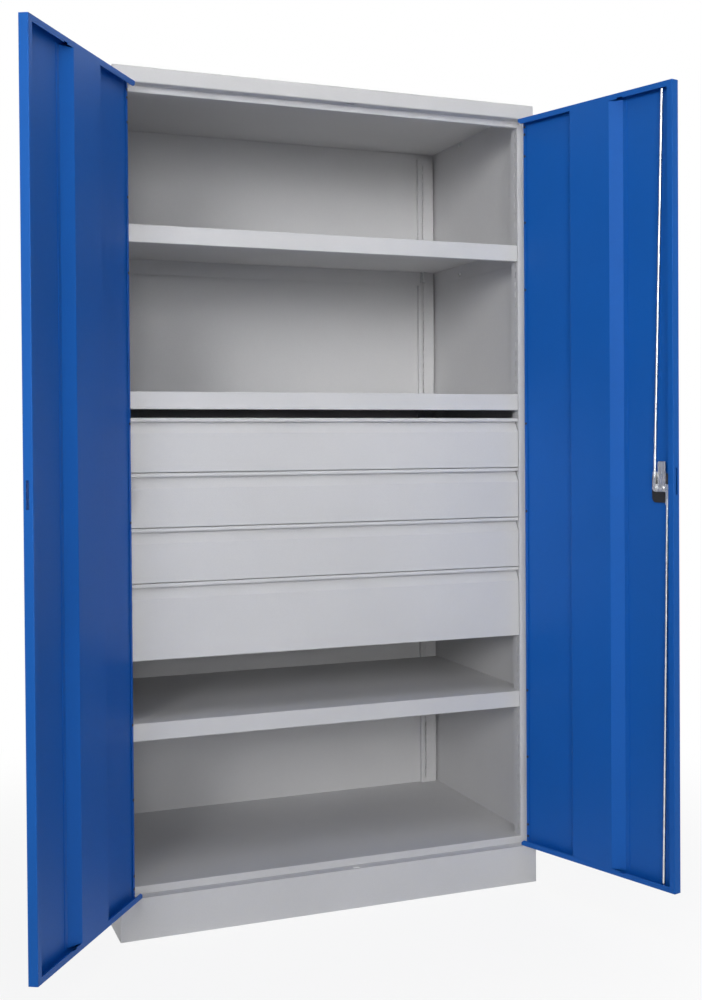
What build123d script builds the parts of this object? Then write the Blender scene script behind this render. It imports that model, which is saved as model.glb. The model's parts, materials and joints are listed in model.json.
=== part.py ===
from build123d import *

import os

# A two-door steel storage cabinet with three shelves and four drawers.
# Millimetres. The origin is on the floor under the middle of the case.
# +X is the cabinet's right as one faces it, +Y runs to its back and +Z up.

# Whole cabinet
WIDTH = 1030
DEPTH = 668
HEIGHT = 1950
PLINTH_HEIGHT = 94
FASCIA_HEIGHT = 36
FRAME_SETBACK = 31.5

# Sheet steel
CASE_SHEET = 1.5
INNER_SHEET = 1.2
BEND = 2.0
TIGHT_BEND = 1.6

# Front frame, floor and upright posts
POST_FACE = 29
POST_DEPTH = 38
REAR_POST_GAP = 6.5
REAR_POST_WIDTH = 46
REAR_POST_DEPTH = 12.3
POST_LIP = 16
CEILING_GAP = 15
TOP_RAIL_DROP = 51
BASE_RAIL_HEIGHT = 17
REAR_FLANGE = 20
PLINTH_FLANGE = 60
FOOT_FLANGE = 30

# Rows of slots in the posts, from the floor up
SLOT_PITCH = 25
SLOT_WIDTH = 4
SLOT_LENGTH = 15
SLOT_START = 20.5
FRONT_SLOT_SETBACK = 14.5
REAR_SLOT_INSET = 13

# Shelves, counted from the top, each on a step of the slots
SHELF_TOPS = (1604, 1229, 479)
SHELF_LIP = 40
SHELF_CLEARANCE = 1.2
SHELF_SLOT_DROP = 22.5
CLIP_SHEET = 2
CLIP_WIDTH = 16
CLIP_REACH = 15
HOOK_WIDTH = 2.6
HOOK_REACH = 4
HOOK_HALF = 5

# Drawers, counted from the top
STACK_TOP = 1169
DRAWER_HEIGHTS = (125, 125, 125, 175)
FRONT_GAP = 1.5
FRONT_SETBACK = 31
DRAWER_SIDE_GAP = 2.2
GRIP_LIP = 8.5
GRIP_DEPTH = 17.5
GRIP_HEIGHT = 35
FRONT_TOP_DEPTH = 20
FRONT_FOOT_DEPTH = 8
DRAWER_LENGTH = 590
RIM_DROP = 1
RIM_WIDTH = 8
SIDE_SLOT_COUNT = 12
SIDE_SLOT_START = 12
UPPER_SIDE_SLOT = (26, 42)
LOWER_SIDE_SLOT = (94, 119)
BACK_SLITS = (-232, -148, 12, 208, 292)
BACK_SLIT = (3, 40, 10)

# Drawer runners and rollers
ROLLER_DIAMETER = 22
ROLLER_LIFT = 13
RUNNING_GAP = 0.3
PIN_FIT = 0.05
EDGE_BREAK = 1
ROLLER_SETBACK = 52.5
ROLLER_WIDTH = 9.5
STUD_DIAMETER = 6
STUD_HEAD = 10
RAIL_HEIGHT = 13.2
RAIL_FOOT = 13.5
REAR_ROLLER_LIFT = 12.2
REAR_ROLLER_INSET = 15
EAR_LENGTH = 30
EAR_HEIGHT = 24.7
CHANNEL_INSET = 14.8
CHANNEL_REACH = 12.2
NOSE_START = 34
BRIDGE_LENGTH = 25

# Doors, as they stand shut
DOOR_THICKNESS = 20
DOOR_GAP_ABOVE = 3
DOOR_GAP_BELOW = 6
DOOR_TIP = 1.7
TIP_CUT = (9, 6)
HINGE_EDGE = 3
HINGE_RETURN = 3.6
HINGE_LIP = 10
MEETING_GAP = 3
MEETING_LIP = 15.5
END_LIP = 13
STIFFENER_START = 187
STIFFENER_FACE = 130
STIFFENER_BACK_SLOPE = 5
STIFFENER_FRONT_SLOPE = 29
STIFFENER_FOOT = 12
LIP_NOTCH = (343.7, 17, 3)
LEFT_OPEN = 122
RIGHT_OPEN = 106.35

# Hinges
PIN_INSET = 13
PIN_FORWARD = 11
PIN_DIAMETER = 6
PIN_HEAD = (5.5, 2)
KNUCKLE_RADIUS = 6.5
LEAF_SHEET = 2.5
HINGE_HEIGHTS = (250, 1005, HEIGHT - 190)
HINGE_HALF = 30
KNUCKLE_HALF = 9.7
KNUCKLE_GAP = 0.3
FRAME_LEAF_WIDTH = 10
DOOR_LEAF_EDGE = 50
DOOR_LEAF_HALF = 28

# Lock on the right door, measured from the right side of the cabinet
LOCK_INSET = 469
LOCK_HEIGHT = 1005
CAM_PIN_RADIUS = 19.8
CAM_PIN_DIAMETER = 6
CAM_PIN_HEAD = 9
CAM_SHEET = 2
CAM_LEVEL = 8
CAM_HALF = 8.5
TONGUE_WIDTH = 24
TONGUE_REACH = 60
TONGUE_TIP_RADIUS = 4
LEFT_SWING = 41
RIGHT_SWING = 46
SWING_PLAY = 2
BASE_PLATE = (63, 66)
BASE_CORNER = 12
BASE_THICKNESS = 6
SPINDLE_DIAMETER = 10
SPINDLE_PLAY = 1
SPINDLE_COLLAR = 14
ROD_DIAMETER = 6
ROD_LEVEL = 11.8
ROD_FLAT = 3
ROD_FLAT_WIDTH = 10
ROD_FLAT_LENGTH = 34
ROD_ROUND_START = 24
UPPER_GUIDE = 476.2
LOWER_GUIDE = 473.2
GUIDE_SLOT = (18, 7)
STRIKE_SLOT = (20, 10)
ESCUTCHEON_DIAMETER = 56
ESCUTCHEON_THICKNESS = 5
ESCUTCHEON_ROUND = 2
GRIP = (20, 76, 24)
GRIP_BOSS = 32
GRIP_ROUND = 3
CYLINDER_DIAMETER = 16
CYLINDER_DEPTH = 18
CYLINDER_STEP = 1
KEY_SLOT = (2, 9, 9)

# Levels and edges that follow from the sizes above
RIGHT = WIDTH / 2
LEFT = -RIGHT
BACK = DEPTH / 2
FRONT = -BACK
FRAME = FRONT + FRAME_SETBACK
CEILING = HEIGHT - CASE_SHEET
FASCIA_BOTTOM = HEIGHT - FASCIA_HEIGHT
FLOOR = PLINTH_HEIGHT + BASE_RAIL_HEIGHT
LOWEST_SLOT = FLOOR + SLOT_START
SLOT_COUNT = int((CEILING - CEILING_GAP - SLOT_LENGTH / 2 - LOWEST_SLOT) / SLOT_PITCH) + 1
BACK_FACE = BACK - CASE_SHEET - INNER_SHEET
POST_EDGE = LEFT + POST_FACE
POST_BACK = FRAME + POST_DEPTH
REAR_POST_FACE = BACK_FACE - REAR_POST_DEPTH
REAR_POST_EDGE = LEFT + CASE_SHEET + REAR_POST_GAP
REAR_SLOT_X = REAR_POST_EDGE + REAR_POST_WIDTH - REAR_SLOT_INSET
FRONT_SLOT_Y = FRAME + FRONT_SLOT_SETBACK
DRAWER_FACE = FRONT + FRONT_SETBACK
DRAWER_EDGE = POST_EDGE + DRAWER_SIDE_GAP
BOX_EDGE = DRAWER_EDGE + INNER_SHEET
BOX_FRONT = DRAWER_FACE + FRONT_TOP_DEPTH
BOX_BACK = DRAWER_FACE + DRAWER_LENGTH
PIN_X = LEFT + PIN_INSET
PIN_Y = FRONT - PIN_FORWARD
MEETING_EDGE = -MEETING_GAP / 2
DOOR_BACK = FRONT + DOOR_THICKNESS
DOOR_TOP = FASCIA_BOTTOM - DOOR_GAP_ABOVE
DOOR_BOTTOM = PLINTH_HEIGHT + DOOR_GAP_BELOW
LOCK_X = RIGHT - LOCK_INSET


def block(x, y, z, mode=Mode.ADD):
    """Add or cut a block that spans the three given ranges."""
    with Locations((sum(x) / 2, sum(y) / 2, sum(z) / 2)):
        Box(x[1] - x[0], y[1] - y[0], z[1] - z[0], mode=mode)


def fold_section(path, sheet, bend):
    """Section of a sheet folded along a path, with its thickness laid to the path's left."""
    with BuildSketch() as section:
        with BuildLine():
            FilletPolyline(*path, radius=bend)
            offset(amount=sheet, side=Side.LEFT)
        make_face()
    return section.sketch_local


def save(piece, name):
    """Name a finished piece and write its file."""
    piece.part.label = name
    export_step(piece.part, f"parts/{name}.step")


def save_mirrored(piece, name):
    """Write the opposite hand of a piece as one of its own."""
    with BuildPart() as opposite:
        add(mirror(piece.part, about=Plane.YZ))
    save(opposite, name)


def save_swung(piece, name, hinge_x, angle):
    """Write a piece of a door, turned about its hinge from shut to where the door rests."""
    with BuildPart() as swung:
        add(piece.part.rotate(Axis((hinge_x, PIN_Y, 0), (0, 0, 1)), angle))
    save(swung, name)


os.makedirs("parts", exist_ok=True)

# Top of the case, folded from one sheet: fascia in front, with the ledge the upper bolt enters
with BuildPart() as top_cap:
    with BuildSketch(Plane.YZ):
        cap_path = (
            (FRAME, FASCIA_BOTTOM + CASE_SHEET),
            (FRONT + CASE_SHEET, FASCIA_BOTTOM + CASE_SHEET),
            (FRONT + CASE_SHEET, CEILING),
            (BACK - CASE_SHEET, CEILING),
            (BACK - CASE_SHEET, CEILING - REAR_FLANGE),
        )
        add(fold_section(cap_path, CASE_SHEET, BEND))
    extrude(amount=WIDTH / 2, both=True)
    for end in (LEFT, RIGHT - CASE_SHEET):
        block(
            (end, end + CASE_SHEET),
            (FRONT + CASE_SHEET / 2, FRAME),
            (FASCIA_BOTTOM + CASE_SHEET / 2, CEILING + CASE_SHEET / 2),
        )
    rear_bend = (BACK - CASE_SHEET - BEND, BACK)
    for end in (LEFT, RIGHT - REAR_FLANGE):
        block((end, end + REAR_FLANGE), rear_bend, (CEILING - REAR_FLANGE, CEILING), Mode.SUBTRACT)
    with BuildSketch(Plane.XY.offset(FASCIA_BOTTOM)):
        with Locations((RIGHT - UPPER_GUIDE, FRONT + ROD_LEVEL)):
            SlotOverall(*STRIKE_SLOT)
    extrude(amount=CASE_SHEET, mode=Mode.SUBTRACT)
save(top_cap, "top_cap")

# Rail behind the fascia, between the posts
with BuildPart() as top_rail:
    with BuildSketch(Plane.YZ.offset(POST_EDGE)):
        rail_bottom = HEIGHT - TOP_RAIL_DROP
        rail_path = (
            (FRAME + POST_LIP, rail_bottom + POST_LIP),
            (FRAME + POST_LIP, rail_bottom),
            (FRAME, rail_bottom),
            (FRAME, CEILING),
            (FRAME + POST_LIP, CEILING),
        )
        add(fold_section(tuple(reversed(rail_path)), CASE_SHEET, BEND))
    extrude(amount=-2 * POST_EDGE)
save(top_rail, "top_rail")

# Side of the case, folded in at the front over the post and at the back over the back panel
with BuildPart() as side_panel:
    with BuildSketch(Plane.XY.offset(PLINTH_HEIGHT)):
        side_path = (
            (POST_EDGE, FRAME),
            (LEFT, FRAME),
            (LEFT, BACK),
            (LEFT + REAR_FLANGE, BACK),
        )
        add(fold_section(tuple(reversed(side_path)), CASE_SHEET, BEND))
    extrude(amount=CEILING - PLINTH_HEIGHT)
save(side_panel, "left_side_panel")
save_mirrored(side_panel, "right_side_panel")

# Back, held against the rear folds of the sides and the top, short of their bends
with BuildPart() as back_panel:
    panel_edge = RIGHT - CASE_SHEET - BEND
    block((-panel_edge, panel_edge), (BACK_FACE, BACK_FACE + INNER_SHEET), (PLINTH_HEIGHT, CEILING - BEND))
save(back_panel, "back_panel")

# Floor, a tray turned upside down, with the base rail along its front
with BuildPart() as floor_pan:
    tray_x = (LEFT + CASE_SHEET, RIGHT - CASE_SHEET)
    tray_y = (FRAME + CASE_SHEET, BACK_FACE)
    block(tray_x, tray_y, (PLINTH_HEIGHT, FLOOR))
    fillet(floor_pan.edges().filter_by(Axis.Z), radius=BEND)
    block((POST_EDGE, -POST_EDGE), (FRAME, tray_y[0]), (PLINTH_HEIGHT, FLOOR))
    block(
        (tray_x[0] + CASE_SHEET, tray_x[1] - CASE_SHEET),
        (tray_y[0], tray_y[1] - CASE_SHEET),
        (PLINTH_HEIGHT, FLOOR - CASE_SHEET),
        Mode.SUBTRACT,
    )
    front_top = floor_pan.edges().filter_by(Axis.X).group_by(Axis.Z)[-1].sort_by(Axis.Y)[0]
    fillet(front_top, radius=CASE_SHEET - 0.1)
save(floor_pan, "floor_pan")

# Plinth, a ring of board with flanges turned in above and below
with BuildPart() as plinth:
    block((LEFT, RIGHT), (FRONT, BACK), (0, PLINTH_HEIGHT))
    fillet(plinth.edges().filter_by(Axis.Z), radius=BEND + CASE_SHEET)
    hollow_z = (CASE_SHEET, PLINTH_HEIGHT - CASE_SHEET)
    openings = (
        (CASE_SHEET, hollow_z),
        (PLINTH_FLANGE, (CASE_SHEET, PLINTH_HEIGHT)),
        (FOOT_FLANGE, (0, CASE_SHEET)),
    )
    for inset, levels in openings:
        block((LEFT + inset, RIGHT - inset), (FRONT + inset, BACK - inset), levels, Mode.SUBTRACT)
    with BuildSketch(Plane.XY.offset(PLINTH_HEIGHT)):
        with Locations((RIGHT - LOWER_GUIDE, FRONT + ROD_LEVEL)):
            SlotOverall(*STRIKE_SLOT)
    extrude(amount=-CASE_SHEET, mode=Mode.SUBTRACT)
save(plinth, "plinth")

# Front post, a channel behind the side panel's front fold, with a row of slots in its web
with BuildPart() as front_post:
    with BuildSketch(Plane.XY.offset(FLOOR)):
        post_path = (
            (POST_EDGE - POST_LIP, FRAME + CASE_SHEET),
            (POST_EDGE, FRAME + CASE_SHEET),
            (POST_EDGE, POST_BACK),
            (POST_EDGE - POST_LIP, POST_BACK),
        )
        add(fold_section(post_path, CASE_SHEET, BEND))
    extrude(amount=CEILING - FLOOR)
    slot_middle = LOWEST_SLOT + SLOT_PITCH * (SLOT_COUNT - 1) / 2
    with BuildSketch(Plane.YZ.offset(POST_EDGE)):
        with Locations((FRONT_SLOT_Y, slot_middle)):
            with GridLocations(SLOT_WIDTH, SLOT_PITCH, 1, SLOT_COUNT):
                Rectangle(SLOT_WIDTH, SLOT_LENGTH)
    extrude(amount=-CASE_SHEET, mode=Mode.SUBTRACT)
save(front_post, "left_front_post")
save_mirrored(front_post, "right_front_post")

# Rear post, a shallow channel on the back panel
with BuildPart() as rear_post:
    with BuildSketch(Plane.XY.offset(FLOOR)):
        rear_path = (
            (REAR_POST_EDGE, BACK_FACE),
            (REAR_POST_EDGE, REAR_POST_FACE),
            (REAR_POST_EDGE + REAR_POST_WIDTH, REAR_POST_FACE),
            (REAR_POST_EDGE + REAR_POST_WIDTH, BACK_FACE),
        )
        add(fold_section(rear_path, CASE_SHEET, BEND))
    extrude(amount=CEILING - CEILING_GAP - FLOOR)
    with BuildSketch(Plane.XZ.offset(-REAR_POST_FACE)):
        with Locations((REAR_SLOT_X, slot_middle)):
            with GridLocations(SLOT_WIDTH, SLOT_PITCH, 1, SLOT_COUNT):
                Rectangle(SLOT_WIDTH, SLOT_LENGTH)
    extrude(amount=-CASE_SHEET, mode=Mode.SUBTRACT)
save(rear_post, "left_rear_post")
save_mirrored(rear_post, "right_rear_post")

# Shelves, notched round the front posts and open to the clips at the back
shelf_side = LEFT + CASE_SHEET + SHELF_CLEARANCE
shelf_edge = POST_EDGE + SHELF_CLEARANCE
shelf_front = FRAME + CASE_SHEET / 2
shelf_back = REAR_POST_FACE - CASE_SHEET
notch_back = POST_BACK + SHELF_CLEARANCE
flange_end = REAR_SLOT_X + CLIP_WIDTH / 2 + SHELF_CLEARANCE
for number, top in enumerate(SHELF_TOPS, start=1):
    with BuildPart() as shelf:
        block((shelf_side, -shelf_side), (notch_back, shelf_back), (top - INNER_SHEET, top))
        with BuildSketch(Plane.YZ.offset(shelf_edge)):
            lip_path = (
                (shelf_front + POST_LIP, top - SHELF_LIP),
                (shelf_front, top - SHELF_LIP),
                (shelf_front, top),
                (notch_back, top),
            )
            add(fold_section(tuple(reversed(lip_path)), INNER_SHEET, TIGHT_BEND))
        extrude(amount=-2 * shelf_edge)
        for side in (shelf_side, -shelf_side - INNER_SHEET):
            block((side, side + INNER_SHEET), (notch_back, shelf_back), (top - SHELF_LIP, top))
        block((flange_end, -flange_end), (shelf_back - INNER_SHEET, shelf_back), (top - SHELF_LIP, top))
    save(shelf, f"shelf_{number}")

# Clips that hook into the posts' slots and carry the shelves
with BuildPart() as shelf_clips:
    for top in SHELF_TOPS:
        seat = top - INNER_SHEET
        slot_foot = top - SHELF_SLOT_DROP - SLOT_LENGTH / 2
        drop = (slot_foot - CLIP_SHEET, seat)
        hook = (slot_foot, slot_foot + SLOT_LENGTH / 2)
        for side in (1, -1):
            reach = sorted((side * POST_EDGE, side * (POST_EDGE + CLIP_REACH)))
            plate = sorted((side * POST_EDGE, side * (POST_EDGE + CLIP_SHEET)))
            hook_x = sorted((side * POST_EDGE, side * (POST_EDGE - HOOK_REACH)))
            width = (FRONT_SLOT_Y - CLIP_WIDTH / 2, FRONT_SLOT_Y + CLIP_WIDTH / 2)
            block(reach, width, (seat - CLIP_SHEET, seat))
            block(plate, width, drop)
            block(hook_x, (FRONT_SLOT_Y - HOOK_WIDTH / 2, FRONT_SLOT_Y + HOOK_WIDTH / 2), hook)
            middle = side * REAR_SLOT_X
            width = (middle - CLIP_WIDTH / 2, middle + CLIP_WIDTH / 2)
            block(width, (REAR_POST_FACE - CLIP_REACH, REAR_POST_FACE), (seat - CLIP_SHEET, seat))
            block(width, (REAR_POST_FACE - CLIP_SHEET, REAR_POST_FACE), drop)
            hook_x = (middle - HOOK_WIDTH / 2, middle + HOOK_WIDTH / 2)
            block(hook_x, (REAR_POST_FACE, REAR_POST_FACE + HOOK_REACH), hook)
save(shelf_clips, "shelf_clips")

# Drawers: a folded front with a grip recess, a box behind it, and a rail under each side
drawer_bottoms = [STACK_TOP - sum(DRAWER_HEIGHTS[: number + 1]) for number in range(len(DRAWER_HEIGHTS))]
roller_radius = ROLLER_DIAMETER / 2
front_roller_y = FRONT + ROLLER_SETBACK
rear_roller_y = BOX_BACK - REAR_ROLLER_INSET
for number, (bottom, height) in enumerate(zip(drawer_bottoms, DRAWER_HEIGHTS), start=1):
    top = bottom + height
    rail_bottom = bottom + ROLLER_LIFT + roller_radius + RUNNING_GAP
    box_bottom = rail_bottom + INNER_SHEET
    rim = top - RIM_DROP
    channel_foot = rail_bottom - RUNNING_GAP
    rear_roller_z = channel_foot + REAR_ROLLER_LIFT + RUNNING_GAP

    with BuildPart() as drawer_front:
        with BuildSketch(Plane.YZ.offset(DRAWER_EDGE)):
            front_path = (
                (BOX_FRONT, top - POST_LIP),
                (BOX_FRONT, top),
                (DRAWER_FACE, top),
                (DRAWER_FACE, top - GRIP_LIP),
                (DRAWER_FACE + GRIP_DEPTH, top - GRIP_LIP),
                (DRAWER_FACE, top - GRIP_HEIGHT),
                (DRAWER_FACE, bottom + FRONT_GAP),
                (DRAWER_FACE + FRONT_FOOT_DEPTH, bottom + FRONT_GAP),
            )
            add(fold_section(front_path, INNER_SHEET, TIGHT_BEND))
        extrude(amount=-2 * DRAWER_EDGE)
    save(drawer_front, f"drawer_{number}_front")

    with BuildPart() as drawer_box:
        block((BOX_EDGE, -BOX_EDGE), (BOX_FRONT, BOX_BACK), (box_bottom, rim))
        block(
            (BOX_EDGE + INNER_SHEET, -BOX_EDGE - INNER_SHEET),
            (BOX_FRONT + INNER_SHEET, BOX_BACK - INNER_SHEET),
            (box_bottom + INNER_SHEET, rim - INNER_SHEET),
            Mode.SUBTRACT,
        )
        block(
            (BOX_EDGE + RIM_WIDTH, -BOX_EDGE - RIM_WIDTH),
            (BOX_FRONT + RIM_WIDTH, BOX_BACK - RIM_WIDTH),
            (rim - INNER_SHEET, rim),
            Mode.SUBTRACT,
        )
        for upper, lower in (UPPER_SIDE_SLOT, LOWER_SIDE_SLOT):
            if rim - lower < box_bottom + INNER_SHEET:
                continue
            row_middle = BOX_FRONT + SIDE_SLOT_START + SLOT_PITCH * (SIDE_SLOT_COUNT - 1) / 2
            with BuildSketch(Plane.YZ.offset(BOX_EDGE)):
                with Locations((row_middle, rim - (upper + lower) / 2)):
                    with GridLocations(SLOT_PITCH, SLOT_PITCH, SIDE_SLOT_COUNT, 1):
                        Rectangle(SLOT_WIDTH, lower - upper)
            extrude(amount=-2 * BOX_EDGE, mode=Mode.SUBTRACT)
        slit_width, slit_height, slit_drop = BACK_SLIT
        for x in BACK_SLITS:
            slit_x = (x - slit_width / 2, x + slit_width / 2)
            slit_z = (rim - slit_drop - slit_height, rim - slit_drop)
            block(slit_x, (BOX_BACK - INNER_SHEET, BOX_BACK), slit_z, Mode.SUBTRACT)
    save(drawer_box, f"drawer_{number}_box")

    with BuildPart() as drawer_rails:
        block((DRAWER_EDGE, DRAWER_EDGE + RAIL_FOOT), (BOX_FRONT, BOX_BACK), (rail_bottom, box_bottom))
        block((DRAWER_EDGE, BOX_EDGE), (BOX_FRONT, BOX_BACK), (rail_bottom, rail_bottom + RAIL_HEIGHT))
        ear_y = (BOX_BACK - EAR_LENGTH, BOX_BACK)
        block((DRAWER_EDGE, BOX_EDGE), ear_y, (rail_bottom, rail_bottom + EAR_HEIGHT))
        stud_end = LEFT + CHANNEL_INSET + INNER_SHEET + 2 * RUNNING_GAP
        roller_end = stud_end + INNER_SHEET + RUNNING_GAP
        with BuildSketch(Plane.YZ.offset(DRAWER_EDGE)):
            with Locations((rear_roller_y, rear_roller_z)):
                Circle(STUD_DIAMETER / 2)
        extrude(amount=stud_end - DRAWER_EDGE)
        with BuildSketch(Plane.YZ.offset(stud_end)):
            with Locations((rear_roller_y, rear_roller_z)):
                Circle(STUD_HEAD / 2)
        extrude(amount=INNER_SHEET)
        with BuildSketch(Plane.YZ.offset(roller_end + ROLLER_WIDTH + RUNNING_GAP)):
            with Locations((rear_roller_y, rear_roller_z)):
                Circle(STUD_HEAD / 2)
        extrude(until=Until.NEXT)
        mirror(about=Plane.YZ)
    save(drawer_rails, f"drawer_{number}_rails")

    with BuildPart() as rear_rollers:
        with BuildSketch(Plane.YZ.offset(roller_end)):
            with Locations((rear_roller_y, rear_roller_z)):
                Circle(roller_radius)
                Circle(STUD_DIAMETER / 2 + PIN_FIT, mode=Mode.SUBTRACT)
        extrude(amount=ROLLER_WIDTH)
        rims = rear_rollers.edges().filter_by(GeomType.CIRCLE).group_by(SortBy.RADIUS)[-1]
        chamfer(rims, length=EDGE_BREAK)
        mirror(about=Plane.YZ)
    save(rear_rollers, f"drawer_{number}_rear_rollers")

    # Runner: a channel in the pocket beside the drawer, with a nose that carries the front roller
    with BuildPart() as runners:
        channel_x = (LEFT + CHANNEL_INSET, LEFT + CHANNEL_INSET + CHANNEL_REACH)
        channel_y = (POST_BACK + INNER_SHEET, REAR_POST_FACE)
        channel_top = channel_foot + 2 * REAR_ROLLER_LIFT + 2 * RUNNING_GAP
        block((channel_x[0], channel_x[0] + INNER_SHEET), channel_y, (channel_foot, channel_top))
        block(channel_x, channel_y, (channel_foot, channel_foot + INNER_SHEET))
        block(channel_x, channel_y, (channel_top - INNER_SHEET, channel_top))
        bridge_y = (channel_y[0], channel_y[0] + BRIDGE_LENGTH)
        nose_x = (POST_EDGE, POST_EDGE + INNER_SHEET)
        block((channel_x[0], nose_x[1]), bridge_y, (channel_foot - INNER_SHEET, channel_foot))
        block(nose_x, (FRONT + NOSE_START, bridge_y[1]), (bottom + FRONT_GAP, channel_foot))
        slot_z = bottom + SLOT_PITCH / 2
        block(
            (POST_EDGE - HOOK_REACH, POST_EDGE),
            (FRONT_SLOT_Y - HOOK_WIDTH / 2, FRONT_SLOT_Y + HOOK_WIDTH / 2),
            (slot_z - HOOK_HALF, slot_z + HOOK_HALF),
        )
        with BuildSketch(Plane.YZ.offset(nose_x[1])):
            with Locations((front_roller_y, bottom + ROLLER_LIFT)):
                Circle(STUD_DIAMETER / 2)
        extrude(amount=ROLLER_WIDTH + 3 * RUNNING_GAP)
        with BuildSketch(Plane.YZ.offset(nose_x[1] + ROLLER_WIDTH + 3 * RUNNING_GAP)):
            with Locations((front_roller_y, bottom + ROLLER_LIFT)):
                Circle(STUD_HEAD / 2)
        extrude(amount=INNER_SHEET)
        block(
            (channel_x[0], REAR_SLOT_X + SLOT_WIDTH),
            (REAR_POST_FACE - INNER_SHEET, REAR_POST_FACE),
            (channel_foot, channel_top),
        )
        slot_z += SLOT_PITCH
        block(
            (REAR_SLOT_X - HOOK_WIDTH / 2, REAR_SLOT_X + HOOK_WIDTH / 2),
            (REAR_POST_FACE, REAR_POST_FACE + HOOK_REACH),
            (slot_z - HOOK_HALF, slot_z + HOOK_HALF),
        )
        mirror(about=Plane.YZ)
    save(runners, f"drawer_{number}_runners")

    with BuildPart() as front_rollers:
        with BuildSketch(Plane.YZ.offset(nose_x[1] + 2 * RUNNING_GAP)):
            with Locations((front_roller_y, bottom + ROLLER_LIFT)):
                Circle(roller_radius)
                Circle(STUD_DIAMETER / 2 + PIN_FIT, mode=Mode.SUBTRACT)
        extrude(amount=ROLLER_WIDTH)
        rims = front_rollers.edges().filter_by(GeomType.CIRCLE).group_by(SortBy.RADIUS)[-1]
        chamfer(rims, length=EDGE_BREAK)
        mirror(about=Plane.YZ)
    save(front_rollers, f"drawer_{number}_front_rollers")

# Doors. Both are drawn shut at the left; the right one is the same pan mirrored.
swing_y = (FRONT + CAM_LEVEL - SWING_PLAY, FRONT + CAM_LEVEL + CAM_SHEET + SWING_PLAY)
swing_bottom = LOCK_HEIGHT - TONGUE_WIDTH / 2 - SWING_PLAY


def door_outline():
    """Pan of a shut door at the left: skin, hinge return, meeting edge and the two end flanges."""
    with BuildPart() as pan:
        with BuildSketch(Plane.XY.offset(DOOR_BOTTOM)):
            pan_path = (
                (LEFT + HINGE_EDGE + HINGE_LIP, FRONT + HINGE_RETURN),
                (LEFT + HINGE_EDGE, FRONT + HINGE_RETURN),
                (LEFT + HINGE_EDGE, FRONT),
                (MEETING_EDGE, FRONT),
                (MEETING_EDGE, DOOR_BACK),
                (MEETING_EDGE - MEETING_LIP, DOOR_BACK),
            )
            add(fold_section(pan_path, INNER_SHEET, TIGHT_BEND))
        extrude(amount=DOOR_TOP - DOOR_BOTTOM)
        for level in (DOOR_BOTTOM, DOOR_TOP - INNER_SHEET):
            with BuildSketch(Plane.XY.offset(level)):
                with BuildLine():
                    Polyline(
                        (LEFT + HINGE_EDGE + TIGHT_BEND, FRONT + INNER_SHEET / 2),
                        (MEETING_EDGE - TIGHT_BEND, FRONT + INNER_SHEET / 2),
                        (MEETING_EDGE - INNER_SHEET / 2, FRONT + TIGHT_BEND),
                        (MEETING_EDGE - INNER_SHEET / 2, DOOR_BACK),
                        (LEFT + DOOR_TIP, DOOR_BACK),
                        (LEFT + HINGE_EDGE, FRONT + HINGE_RETURN),
                        close=True,
                    )
                make_face()
            extrude(amount=INNER_SHEET)
        lip_x = (LEFT + DOOR_TIP, MEETING_EDGE - TIGHT_BEND)
        lip_y = (DOOR_BACK - INNER_SHEET, DOOR_BACK)
        notch_start, notch_length, notch_depth = LIP_NOTCH
        notch_x = (LEFT + notch_start, LEFT + notch_start + notch_length)
        cut_width, cut_height = TIP_CUT
        for end, inward in ((DOOR_BOTTOM, 1), (DOOR_TOP, -1)):
            inner = end + inward * END_LIP
            block(lip_x, lip_y, sorted((end, inner)))
            block(notch_x, lip_y, sorted((inner, inner - inward * notch_depth)), Mode.SUBTRACT)
            with BuildSketch(Plane.XZ.offset(-lip_y[0])):
                with BuildLine():
                    Polyline(
                        (lip_x[0], inner),
                        (lip_x[0] + cut_width, inner),
                        (lip_x[0], inner - inward * cut_height),
                        close=True,
                    )
                make_face()
            extrude(amount=-INNER_SHEET, mode=Mode.SUBTRACT)
    return pan.part


# Left door, with the slot its neighbour's lock tongue enters
with BuildPart() as left_door:
    add(door_outline())
    edge_x = (MEETING_EDGE - INNER_SHEET, MEETING_EDGE)
    block(edge_x, swing_y, (swing_bottom, LOCK_HEIGHT + LEFT_SWING), Mode.SUBTRACT)
save_swung(left_door, "left_door", PIN_X, -LEFT_OPEN)

# Right door, with holes for the spindle, the tongue and the two bolts
with BuildPart() as right_door:
    add(mirror(door_outline(), about=Plane.YZ))
    with BuildSketch(Plane.XZ.offset(-FRONT)):
        with Locations((LOCK_X, LOCK_HEIGHT)):
            Circle(SPINDLE_DIAMETER / 2 + SPINDLE_PLAY)
    extrude(amount=-INNER_SHEET, mode=Mode.SUBTRACT)
    edge_x = (-MEETING_EDGE, -MEETING_EDGE + INNER_SHEET)
    block(edge_x, swing_y, (swing_bottom, LOCK_HEIGHT + RIGHT_SWING), Mode.SUBTRACT)
    for guide, level in ((UPPER_GUIDE, DOOR_TOP), (LOWER_GUIDE, DOOR_BOTTOM + INNER_SHEET)):
        with BuildSketch(Plane.XY.offset(level)):
            with Locations((RIGHT - guide, FRONT + ROD_LEVEL)):
                SlotOverall(*GUIDE_SLOT)
        extrude(amount=-INNER_SHEET, mode=Mode.SUBTRACT)
save_swung(right_door, "right_door", -PIN_X, RIGHT_OPEN)

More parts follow.
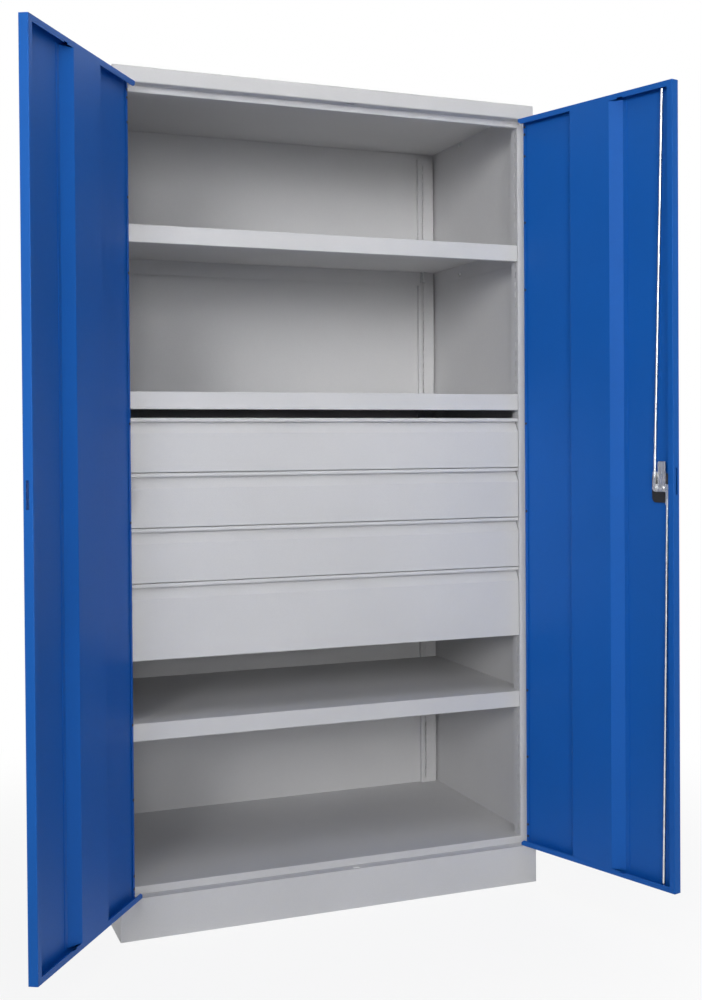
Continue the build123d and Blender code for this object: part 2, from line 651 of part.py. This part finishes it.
# Stiffener, a hat section on the inside of each door
with BuildPart() as stiffener:
    with BuildSketch(Plane.XY.offset(DOOR_BOTTOM + END_LIP)):
        face_start = LEFT + STIFFENER_START
        face_end = face_start + STIFFENER_FACE
        skin = FRONT + INNER_SHEET
        crown = DOOR_BACK - INNER_SHEET
        hat_path = (
            (face_start - STIFFENER_BACK_SLOPE - STIFFENER_FOOT, skin),
            (face_start - STIFFENER_BACK_SLOPE, skin),
            (face_start, crown),
            (face_end, crown),
            (face_end + STIFFENER_FRONT_SLOPE, skin),
            (face_end + STIFFENER_FRONT_SLOPE + STIFFENER_FOOT, skin),
        )
        add(fold_section(hat_path, INNER_SHEET, TIGHT_BEND))
    extrude(amount=DOOR_TOP - DOOR_BOTTOM - 2 * END_LIP)
save_swung(stiffener, "left_door_stiffener", PIN_X, -LEFT_OPEN)
with BuildPart() as right_stiffener:
    add(mirror(stiffener.part, about=Plane.YZ))
save_swung(right_stiffener, "right_door_stiffener", -PIN_X, RIGHT_OPEN)

# Hinges, drawn at the left: frame leaf with two outer knuckles, door leaf with the middle one, and pin
knuckles = ((-HINGE_HALF, -KNUCKLE_HALF - KNUCKLE_GAP), (KNUCKLE_HALF + KNUCKLE_GAP, HINGE_HALF))
leaf_x = (LEFT, LEFT + LEAF_SHEET)
leaf_tip = PIN_Y - LEAF_SHEET / 2
with BuildPart() as frame_leaves:
    for middle in HINGE_HEIGHTS:
        span = (middle - HINGE_HALF, middle + HINGE_HALF)
        foot_x = (leaf_x[0], leaf_x[0] + FRAME_LEAF_WIDTH)
        block(foot_x, (FRAME - LEAF_SHEET, FRAME), span)
        block(leaf_x, (leaf_tip, FRAME), span)
        for low, high in knuckles:
            bridge_x = (leaf_x[0], PIN_X - PIN_DIAMETER / 2)
            block(bridge_x, (leaf_tip, leaf_tip + LEAF_SHEET), (middle + low, middle + high))
            with BuildSketch(Plane.XY.offset(middle + low)):
                with Locations((PIN_X, PIN_Y)):
                    Circle(KNUCKLE_RADIUS)
            extrude(amount=high - low)
        with BuildSketch(Plane.XY.offset(middle - HINGE_HALF)):
            with Locations((PIN_X, PIN_Y)):
                Circle(PIN_DIAMETER / 2)
        extrude(amount=2 * HINGE_HALF, mode=Mode.SUBTRACT)
save(frame_leaves, "left_hinge_frame_leaves")
save_mirrored(frame_leaves, "right_hinge_frame_leaves")

with BuildPart() as hinge_pins:
    for middle in HINGE_HEIGHTS:
        with BuildSketch(Plane.XY.offset(middle - HINGE_HALF)):
            with Locations((PIN_X, PIN_Y)):
                Circle(PIN_DIAMETER / 2)
        extrude(amount=2 * HINGE_HALF)
        head_radius, head_height = PIN_HEAD
        for outward in (1, -1):
            with BuildSketch(Plane.XY.offset(middle + outward * HINGE_HALF)):
                with Locations((PIN_X, PIN_Y)):
                    Circle(head_radius)
            extrude(amount=outward * head_height)
save(hinge_pins, "left_hinge_pins")
save_mirrored(hinge_pins, "right_hinge_pins")

with BuildPart() as door_leaves:
    link_x = (PIN_X + KNUCKLE_RADIUS - LEAF_SHEET, PIN_X + KNUCKLE_RADIUS)
    for middle in HINGE_HEIGHTS:
        knuckle_z = (middle - KNUCKLE_HALF, middle + KNUCKLE_HALF)
        plate_z = (middle - DOOR_LEAF_HALF, middle + DOOR_LEAF_HALF)
        block((link_x[0], LEFT + DOOR_LEAF_EDGE), (FRONT - LEAF_SHEET, FRONT), plate_z)
        block(link_x, (PIN_Y, FRONT), knuckle_z)
        with BuildSketch(Plane.XY.offset(knuckle_z[0])):
            with Locations((PIN_X, PIN_Y)):
                Circle(KNUCKLE_RADIUS)
        extrude(amount=2 * KNUCKLE_HALF)
        with BuildSketch(Plane.XY.offset(knuckle_z[0])):
            with Locations((PIN_X, PIN_Y)):
                Circle(PIN_DIAMETER / 2 + PIN_FIT)
        extrude(amount=2 * KNUCKLE_HALF, mode=Mode.SUBTRACT)
save_swung(door_leaves, "left_hinge_door_leaves", PIN_X, -LEFT_OPEN)
with BuildPart() as right_leaves:
    add(mirror(door_leaves.part, about=Plane.YZ))
save_swung(right_leaves, "right_hinge_door_leaves", -PIN_X, RIGHT_OPEN)

# Lock on the right door. The sketches lie in planes parallel to the shut door, looking back.
cam_back = FRONT + CAM_LEVEL + CAM_SHEET
with BuildPart() as lock_base:
    with BuildSketch(Plane.XZ.offset(-(FRONT + INNER_SHEET))):
        with Locations((LOCK_X, LOCK_HEIGHT)):
            RectangleRounded(*BASE_PLATE, BASE_CORNER)
            Circle(SPINDLE_DIAMETER / 2 + SPINDLE_PLAY, mode=Mode.SUBTRACT)
    extrude(amount=-BASE_THICKNESS)
save_swung(lock_base, "lock_base", -PIN_X, RIGHT_OPEN)

with BuildPart() as escutcheon:
    with BuildSketch(Plane.XZ.offset(-FRONT)):
        with Locations((LOCK_X, LOCK_HEIGHT)):
            Circle(ESCUTCHEON_DIAMETER / 2)
            Circle(SPINDLE_DIAMETER / 2 + PIN_FIT, mode=Mode.SUBTRACT)
    extrude(amount=ESCUTCHEON_THICKNESS)
    outer_rims = escutcheon.edges().filter_by(GeomType.CIRCLE).group_by(SortBy.RADIUS)[-1]
    fillet(outer_rims.sort_by(Axis.Y)[0], radius=ESCUTCHEON_ROUND)
save_swung(escutcheon, "handle_escutcheon", -PIN_X, RIGHT_OPEN)

grip_width, grip_length, grip_depth = GRIP
grip_back = FRONT - ESCUTCHEON_THICKNESS - RUNNING_GAP
with BuildPart() as handle:
    with BuildSketch(Plane.XZ.offset(-grip_back)):
        with Locations((LOCK_X, LOCK_HEIGHT)):
            SlotOverall(grip_length, grip_width, rotation=90)
            Circle(GRIP_BOSS / 2)
    extrude(amount=grip_depth)
    fillet(handle.edges().group_by(Axis.Y)[0], radius=GRIP_ROUND)
    with BuildSketch(Plane.XZ.offset(-grip_back)):
        with Locations((LOCK_X, LOCK_HEIGHT)):
            Circle(SPINDLE_DIAMETER / 2)
    extrude(amount=-(cam_back - CAM_SHEET - grip_back))
    with BuildSketch(Plane.XZ.offset(-(grip_back - grip_depth))):
        with Locations((LOCK_X, LOCK_HEIGHT)):
            Circle(CYLINDER_DIAMETER / 2 + PIN_FIT)
    extrude(amount=-CYLINDER_DEPTH, mode=Mode.SUBTRACT)
save_swung(handle, "handle", -PIN_X, RIGHT_OPEN)

cylinder_face = grip_back - grip_depth - CYLINDER_STEP
key_width, key_height, key_depth = KEY_SLOT
with BuildPart() as lock_cylinder:
    with BuildSketch(Plane.XZ.offset(-cylinder_face)):
        with Locations((LOCK_X, LOCK_HEIGHT)):
            Circle(CYLINDER_DIAMETER / 2)
    extrude(amount=-CYLINDER_DEPTH)
    with BuildSketch(Plane.XZ.offset(-cylinder_face)):
        with Locations((LOCK_X, LOCK_HEIGHT)):
            Rectangle(key_width, key_height)
    extrude(amount=-key_depth, mode=Mode.SUBTRACT)
save_swung(lock_cylinder, "lock_cylinder", -PIN_X, RIGHT_OPEN)

# Cam with a tongue pointing up while unlocked, and a pin on each side for a rod
with BuildPart() as lock_cam:
    with BuildSketch(Plane.XZ.offset(-(FRONT + CAM_LEVEL))):
        with Locations((LOCK_X, LOCK_HEIGHT)):
            Rectangle(2 * CAM_PIN_RADIUS, 2 * CAM_HALF)
        for side in (-1, 1):
            with Locations((LOCK_X + side * CAM_PIN_RADIUS, LOCK_HEIGHT)):
                Circle(CAM_HALF)
        with Locations((LOCK_X, LOCK_HEIGHT + TONGUE_REACH / 2)):
            RectangleRounded(TONGUE_WIDTH, TONGUE_REACH, TONGUE_TIP_RADIUS)
    extrude(amount=-CAM_SHEET)
    with BuildSketch(Plane.XZ.offset(-cam_back)):
        with Locations((LOCK_X, LOCK_HEIGHT)):
            Circle(SPINDLE_COLLAR / 2)
    extrude(amount=-CAM_SHEET)
    rod_back = FRONT + ROD_LEVEL + ROD_FLAT / 2 + RUNNING_GAP
    for side in (-1, 1):
        with BuildSketch(Plane.XZ.offset(-cam_back)):
            with Locations((LOCK_X + side * CAM_PIN_RADIUS, LOCK_HEIGHT)):
                Circle(CAM_PIN_DIAMETER / 2)
        extrude(amount=-(rod_back - cam_back + INNER_SHEET))
        with BuildSketch(Plane.XZ.offset(-rod_back)):
            with Locations((LOCK_X + side * CAM_PIN_RADIUS, LOCK_HEIGHT)):
                Circle(CAM_PIN_HEAD / 2)
        extrude(amount=-INNER_SHEET)
save_swung(lock_cam, "lock_cam", -PIN_X, RIGHT_OPEN)


def bolt_rod(pin_side, guide, end):
    """Round rod from a cam pin to the guide slot in a door flange, flattened round the pin."""
    pin_x = LOCK_X + pin_side * CAM_PIN_RADIUS
    run = RIGHT - guide - pin_x
    rise = end - LOCK_HEIGHT
    direction = (run, 0, rise)
    length = (run**2 + rise**2) ** 0.5
    rod_y = FRONT + ROD_LEVEL
    flat = Plane((pin_x, rod_y + ROD_FLAT / 2, LOCK_HEIGHT), x_dir=direction, z_dir=(0, -1, 0))
    round_start = Plane((pin_x, rod_y, LOCK_HEIGHT), x_dir=(0, 1, 0), z_dir=direction)
    with BuildPart() as rod:
        with BuildSketch(flat):
            with Locations((ROD_FLAT_LENGTH / 2, 0)):
                SlotOverall(ROD_FLAT_LENGTH + ROD_FLAT_WIDTH, ROD_FLAT_WIDTH)
            Circle(CAM_PIN_DIAMETER / 2 + PIN_FIT, mode=Mode.SUBTRACT)
        extrude(amount=ROD_FLAT)
        with BuildSketch(round_start.offset(ROD_ROUND_START)):
            Circle(ROD_DIAMETER / 2)
        extrude(amount=length - ROD_ROUND_START)
        tip = rod.faces().sort_by(Axis.Z)[-1 if rise > 0 else 0]
        chamfer(tip.edges(), length=EDGE_BREAK)
    return rod


upper_rod = bolt_rod(1, UPPER_GUIDE, DOOR_TOP - INNER_SHEET / 2)
save_swung(upper_rod, "upper_rod", -PIN_X, RIGHT_OPEN)
lower_rod = bolt_rod(-1, LOWER_GUIDE, DOOR_BOTTOM + INNER_SHEET / 2)
save_swung(lower_rod, "lower_rod", -PIN_X, RIGHT_OPEN)
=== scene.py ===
import json
import math

import bmesh
import bpy
from mathutils import Matrix, Vector


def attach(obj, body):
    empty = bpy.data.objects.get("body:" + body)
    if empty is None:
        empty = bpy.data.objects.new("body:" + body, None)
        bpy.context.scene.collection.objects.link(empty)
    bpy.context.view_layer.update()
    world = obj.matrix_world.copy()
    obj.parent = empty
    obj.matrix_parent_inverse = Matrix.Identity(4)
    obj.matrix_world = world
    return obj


# Looks of the two-door storage cabinet, in metres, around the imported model.
# The origin is on the floor under the middle of the case, +Y runs to its back and +Z up.

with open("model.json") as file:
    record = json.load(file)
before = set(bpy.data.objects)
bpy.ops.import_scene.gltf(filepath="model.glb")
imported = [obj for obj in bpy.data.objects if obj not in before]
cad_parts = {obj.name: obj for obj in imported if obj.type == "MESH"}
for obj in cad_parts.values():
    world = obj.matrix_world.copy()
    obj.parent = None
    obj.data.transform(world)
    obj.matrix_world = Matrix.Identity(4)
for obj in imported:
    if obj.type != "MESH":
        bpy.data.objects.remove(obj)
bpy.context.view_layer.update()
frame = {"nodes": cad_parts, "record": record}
nodes = frame["nodes"]
scene = bpy.context.scene

# Colours, as linear light
CASE_GREY = (0.680, 0.677, 0.682)
DOOR_BLUE = (0.007, 0.127, 0.520)
ZINC_GREY = (0.720, 0.725, 0.730)
PLASTIC_BLACK = (0.012, 0.012, 0.013)
CHROME_GREY = (0.720, 0.725, 0.730)
FLOOR_WHITE = (0.900, 0.900, 0.905)
PURE_WHITE = (1, 1, 1, 1)

# Small turned heads: (radius, height) from the foot to the crown
SCREW_PROFILE = (
    (0.0056, 0.0000),
    (0.0060, 0.0014),
    (0.0056, 0.0032),
    (0.0042, 0.0044),
    (0.0024, 0.0046),
    (0.0021, 0.0024),
)
# Profile of the door rivet heads, whose black colour is painted shade
SHADE_RIVET_PROFILE = (
    (0.0032, 0.0000),
    (0.0032, 0.0005),
    (0.0026, 0.0010),
    (0.0012, 0.0012),
)

# Screws: how far back they sit, then the wall they sit on and their height
SCREW_DEPTH = 0.128
SCREW_SPOTS = ((0.5135, 1.940), (0.5111, 1.578))

# Rivet heads painted black as painted shade for the dark rivet marks, on a door's folded hinge edge as
# the door stands shut
SHADE_RIVET_INSET = 0.0085
SHADE_RIVET_HEIGHTS = (0.121, 0.150, 0.320, 0.487, 0.936, 1.155, 1.488, 1.655, 1.820, 1.874, 1.892)
CASE_HALF = 0.515
CASE_FRONT = -0.334
LIP_BACK = 0.0036
PIN_INSET = 0.013
PIN_FORWARD = 0.011
REST_OPENING = {"left": 122.0, "right": 106.35}

# Floor and world
FLOOR_RADIUS = 9.0
NEAR_WHITE = 0.88
FADE_START = 0.7
FADE_END = 1.9
WORLD_LIGHT = 0.18

# Lamps: name, place, target, width, power and the angle they fan out by
LAMPS = (
    ("front_lamp", (-1.6, -8.0, 2.2), (0, 0, 1.6), 2.0, 10.2, 45),
    ("left_lamp", (-4.0, -6.5, 3.0), (0, 0, 1.6), 2.0, 15.2, 45),
    ("top_lamp", (0.3, -2.5, 4.2), (0, 0, 1.0), 2.0, 22, 180),
    ("rear_lamp", (3.2, 6.0, 2.8), (0, 0, 1.0), 2.4, 120, 180),
)

# Camera at the photograph's viewing angle
CAMERA_PLACE = (-1.03736, -3.51079, 1.12120)
CAMERA_TURN = (89.1282, 0.3141, -24.1654)
PHOTO_WIDTH, PHOTO_HEIGHT = 702, 1000
FOCAL_PIXELS = 1406.22
OPTICAL_CENTRE = (488.27, 458.68)


# Node helpers
def new_material(name):
    """A material with only its output and one Principled shader, and its node tree."""
    material = bpy.data.materials.new(name)
    material.use_nodes = True
    tree = material.node_tree
    tree.nodes.clear()
    output = tree.nodes.new("ShaderNodeOutputMaterial")
    shader = tree.nodes.new("ShaderNodeBsdfPrincipled")
    tree.links.new(shader.outputs["BSDF"], output.inputs["Surface"])
    return material, tree, shader


def add_node(tree, kind, values=None, links=None):
    """Add a node, set the inputs that are named and link those that another node feeds."""
    node = tree.nodes.new(kind)
    for key, value in (values or {}).items():
        if key in node.inputs:
            node.inputs[key].default_value = value
        else:
            setattr(node, key, value)
    for key, socket in (links or {}).items():
        tree.links.new(socket, node.inputs[key])
    return node


def calculate(tree, operation, first, second):
    """The result of one sum on two numbers."""
    node = add_node(tree, "ShaderNodeMath", {"operation": operation}, {0: first, 1: second})
    return node.outputs["Value"]


def noise(tree, scale, detail=3.0, roughness=0.5, stretch=(1, 1, 1)):
    """Noise over the object's own coordinates, in features a metre."""
    place = add_node(tree, "ShaderNodeTexCoord")
    mapping = add_node(tree, "ShaderNodeMapping", {"Scale": stretch}, {"Vector": place.outputs["Object"]})
    values = {"Scale": scale, "Detail": detail, "Roughness": roughness}
    texture = add_node(tree, "ShaderNodeTexNoise", values, {"Vector": mapping.outputs["Vector"]})
    return texture.outputs["Fac"]


def spread(tree, source, low, high, start=0.35, end=0.65, curve="LINEAR"):
    """Map a value from one range to another, by default the middle of a noise."""
    values = {"From Min": start, "From Max": end, "To Min": low, "To Max": high}
    node = add_node(tree, "ShaderNodeMapRange", values, {"Value": source})
    node.interpolation_type = curve
    return node.outputs["Result"]


def tint(tree, factor, first, second):
    """Blend two colours by a factor."""
    mix = add_node(tree, "ShaderNodeMix", {"data_type": "RGBA"})
    tree.links.new(factor, mix.inputs["Factor"])
    mix.inputs[6].default_value = (*first, 1)
    mix.inputs[7].default_value = (*second, 1)
    return mix.outputs[2]


def shade(colour, share):
    """The same colour, lighter or darker."""
    return tuple(channel * share for channel in colour)


def drifting_colour(tree, scale, detail, first, second):
    """A colour that drifts between two in soft clouds."""
    cloud = noise(tree, scale, detail=detail)
    return tint(tree, spread(tree, cloud, 0.0, 1.0), first, second)


def roughen(tree, shader, source, low, high):
    """Let a noise value set how rough the surface is."""
    tree.links.new(spread(tree, source, low, high), shader.inputs["Roughness"])


def emboss(tree, shader, height, strength, distance):
    """Raise the surface by a noise value."""
    values = {"Strength": strength, "Distance": distance}
    bump = add_node(tree, "ShaderNodeBump", values, {"Height": height})
    tree.links.new(bump.outputs["Normal"], shader.inputs["Normal"])


# Powder coat: an even colour with a fine orange-peel skin
def powder_coat(name, colour, grain, depth, gloss, shine):
    material, tree, shader = new_material(name)
    clouded = drifting_colour(tree, 3.0, 4.0, shade(colour, 0.975), shade(colour, 1.025))
    peel = noise(tree, grain, detail=2.0)
    fine = noise(tree, grain * 3.2, detail=1.0)
    scale = add_node(tree, "ShaderNodeVectorMath", {"operation": "SCALE"}, {0: clouded})
    tree.links.new(spread(tree, fine, 0.94, 1.06), scale.inputs["Scale"])
    tree.links.new(scale.outputs["Vector"], shader.inputs["Base Color"])
    roughen(tree, shader, peel, gloss - 0.04, gloss + 0.05)
    emboss(tree, shader, calculate(tree, "ADD", peel, fine), 0.35, depth)
    shader.inputs["IOR"].default_value = 1.5
    shader.inputs["Specular IOR Level"].default_value = shine
    return material


# Zinc plate: pale metal with soft mottling and drawn streaks
def zinc_plate():
    material, tree, shader = new_material("zinc_plate")
    colour = drifting_colour(tree, 60.0, 4.0, shade(ZINC_GREY, 0.88), shade(ZINC_GREY, 1.08))
    tree.links.new(colour, shader.inputs["Base Color"])
    streak = noise(tree, 400.0, detail=2.0, stretch=(1, 1, 0.06))
    roughen(tree, shader, streak, 0.22, 0.36)
    emboss(tree, shader, streak, 0.15, 0.0001)
    shader.inputs["Metallic"].default_value = 1.0
    return material


# Moulded plastic: black with a fine etched grain
def moulded_plastic():
    material, tree, shader = new_material("moulded_plastic")
    colour = drifting_colour(tree, 90.0, 3.0, PLASTIC_BLACK, shade(PLASTIC_BLACK, 1.5))
    tree.links.new(colour, shader.inputs["Base Color"])
    grain = noise(tree, 1800.0, detail=2.0)
    roughen(tree, shader, grain, 0.34, 0.5)
    emboss(tree, shader, grain, 0.3, 0.0001)
    return material


# Polished chrome: bright, with hair-fine scratches
def polished_chrome():
    material, tree, shader = new_material("polished_chrome")
    colour = drifting_colour(tree, 120.0, 3.0, shade(CHROME_GREY, 0.94), CHROME_GREY)
    tree.links.new(colour, shader.inputs["Base Color"])
    scratch = noise(tree, 900.0, detail=2.0, stretch=(1, 0.08, 1))
    roughen(tree, shader, scratch, 0.1, 0.2)
    emboss(tree, shader, scratch, 0.1, 0.00005)
    shader.inputs["Metallic"].default_value = 1.0
    return material


SLOT_MATERIALS = {
    "case_enamel": powder_coat("case_powder_coat", CASE_GREY, 520.0, 0.00016, 0.55, 0.30),
    "door_enamel": powder_coat("door_powder_coat", DOOR_BLUE, 620.0, 0.00020, 0.46, 0.22),
    "zinc_steel": zinc_plate(),
    "black_plastic": moulded_plastic(),
    "lock_chrome": polished_chrome(),
}


def dress(piece, material):
    """Give every material slot of an object one material."""
    piece.data.materials.clear()
    piece.data.materials.append(material)


def new_piece(name, shape):
    """Turn a finished mesh in the making into an object."""
    mesh = bpy.data.meshes.new(name)
    shape.to_mesh(mesh)
    shape.free()
    piece = bpy.data.objects.new(name, mesh)
    scene.collection.objects.link(piece)
    return piece


# Every node keeps its shape and takes its slot's material
for row in frame["record"]["subparts"]:
    dress(nodes[row["node"]], SLOT_MATERIALS[row["material_slot"]])


# Small turned heads, which the solids leave out
def turned(shape, profile, place, segments=20):
    """Add a turned form to a mesh, with its axis along the place's Z."""
    rings = []
    for radius, height in profile:
        ring = []
        for step in range(segments):
            angle = math.tau * step / segments
            point = Vector((radius * math.cos(angle), radius * math.sin(angle), height))
            ring.append(shape.verts.new(place @ point))
        rings.append(ring)
    for lower, upper in zip(rings, rings[1:]):
        for step in range(segments):
            after = (step + 1) % segments
            shape.faces.new((lower[step], lower[after], upper[after], upper[step]))
    shape.faces.new(rings[-1])
    shape.faces.new(rings[0][::-1])


def heads(name, profile, places, body, slot):
    """One piece of turned heads, all on the same body."""
    shape = bmesh.new()
    for place in places:
        turned(shape, profile, place)
    bmesh.ops.recalc_face_normals(shape, faces=shape.faces)
    for face in shape.faces:
        face.smooth = len(face.verts) == 4
    piece = new_piece(name, shape)
    dress(piece, SLOT_MATERIALS[slot])
    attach(piece, body)


# Pan-head screws on the inside of the side panels and of the upper shelf's side folds
def wall_screws():
    places = []
    for side in (-1, 1):
        for wall, height in SCREW_SPOTS:
            spot = Matrix.Translation((side * wall, SCREW_DEPTH, height))
            places.append(spot @ Matrix.Rotation(-side * math.pi / 2, 4, "Y"))
    heads("wall_screws", SCREW_PROFILE, places, "carcass", "zinc_steel")


# Rivet heads painted black as painted shade for the dark rivet marks in the folded hinge edge of each
# door, placed where that door stands at rest
def door_shade_rivets(side, sign):
    pin = Vector((sign * (CASE_HALF - PIN_INSET), CASE_FRONT - PIN_FORWARD, 0))
    swing = Matrix.Rotation(math.radians(sign * REST_OPENING[side]), 4, "Z")
    opened = Matrix.Translation(pin) @ swing @ Matrix.Translation(-pin)
    places = []
    for height in SHADE_RIVET_HEIGHTS:
        spot = Vector((sign * (CASE_HALF - SHADE_RIVET_INSET), CASE_FRONT + LIP_BACK, height))
        places.append(opened @ Matrix.Translation(spot) @ Matrix.Rotation(-math.pi / 2, 4, "X"))
    # The black plastic here is painted shade: these rivet marks look dark from shadow, not from their own
    # colour
    heads(side + "_door_shade_rivets", SHADE_RIVET_PROFILE, places, side + "_door_leaf", "black_plastic")


wall_screws()
door_shade_rivets("left", -1)
door_shade_rivets("right", 1)


def white_rays(tree):
    """1 for the rays that see a white surrounding: from the camera, off a shine or through glass."""
    ray = tree.nodes.new("ShaderNodeLightPath")
    seen = calculate(tree, "MAXIMUM", ray.outputs["Is Camera Ray"], ray.outputs["Is Glossy Ray"])
    return calculate(tree, "MAXIMUM", seen, ray.outputs["Is Transmission Ray"])


# Floor: pale, keeping the shadow near the cabinet and running out to white
def pale_floor():
    shape = bmesh.new()
    bmesh.ops.create_circle(shape, cap_ends=True, segments=96, radius=FLOOR_RADIUS)
    floor = new_piece("floor", shape)
    material, tree, shader = new_material("pale_floor")
    shader.inputs["Base Color"].default_value = (*FLOOR_WHITE, 1)
    shader.inputs["Roughness"].default_value = 0.9
    place = add_node(tree, "ShaderNodeTexCoord")
    reach = add_node(tree, "ShaderNodeVectorMath", {"operation": "LENGTH"}, {0: place.outputs["Object"]})
    fade = spread(tree, reach.outputs["Value"], NEAR_WHITE, 1.0, FADE_START, FADE_END, "SMOOTHSTEP")
    seen = calculate(tree, "MULTIPLY", fade, white_rays(tree))
    white = add_node(tree, "ShaderNodeEmission", {"Color": PURE_WHITE, "Strength": 1.0})
    surfaces = {0: seen, 1: shader.outputs["BSDF"], 2: white.outputs["Emission"]}
    mix = add_node(tree, "ShaderNodeMixShader", links=surfaces)
    output = next(node for node in tree.nodes if node.type == "OUTPUT_MATERIAL")
    tree.links.new(mix.outputs["Shader"], output.inputs["Surface"])
    dress(floor, material)


# World: even light, with white where the camera or a shiny surface looks past the object
def soft_world():
    world = bpy.data.worlds.new("soft_world")
    scene.world = world
    world.use_nodes = True
    tree = world.node_tree
    tree.nodes.clear()
    output = tree.nodes.new("ShaderNodeOutputWorld")
    light = add_node(tree, "ShaderNodeBackground", {"Color": PURE_WHITE, "Strength": WORLD_LIGHT})
    white = add_node(tree, "ShaderNodeBackground", {"Color": PURE_WHITE, "Strength": 1.0})
    surfaces = {0: white_rays(tree), 1: light.outputs["Background"], 2: white.outputs["Background"]}
    mix = add_node(tree, "ShaderNodeMixShader", links=surfaces)
    tree.links.new(mix.outputs["Shader"], output.inputs["Surface"])


def area_lamp(name, place, target, width, power, fan):
    """A soft square lamp that faces a point."""
    lamp = bpy.data.lights.new(name, "AREA")
    lamp.shape = "RECTANGLE"
    lamp.size = width
    lamp.size_y = width
    lamp.energy = power
    lamp.spread = math.radians(fan)
    holder = bpy.data.objects.new(name, lamp)
    holder.location = place
    aim = Vector(target) - Vector(place)
    holder.rotation_euler = aim.to_track_quat("-Z", "Y").to_euler()
    scene.collection.objects.link(holder)


def photo_camera():
    """The camera that took the photograph, as its straight edges give it."""
    lens = bpy.data.cameras.new("camera")
    lens.sensor_fit = "HORIZONTAL"
    lens.lens = FOCAL_PIXELS * lens.sensor_width / PHOTO_WIDTH
    lens.shift_x = (PHOTO_WIDTH / 2 - OPTICAL_CENTRE[0]) / PHOTO_WIDTH
    lens.shift_y = (OPTICAL_CENTRE[1] - PHOTO_HEIGHT / 2) / PHOTO_WIDTH
    lens.clip_end = 100
    camera = bpy.data.objects.new("camera", lens)
    camera.location = CAMERA_PLACE
    camera.rotation_euler = [math.radians(angle) for angle in CAMERA_TURN]
    scene.collection.objects.link(camera)
    scene.camera = camera


pale_floor()
soft_world()
for lamp_row in LAMPS:
    area_lamp(*lamp_row)
photo_camera()
scene.view_settings.view_transform = "Standard"
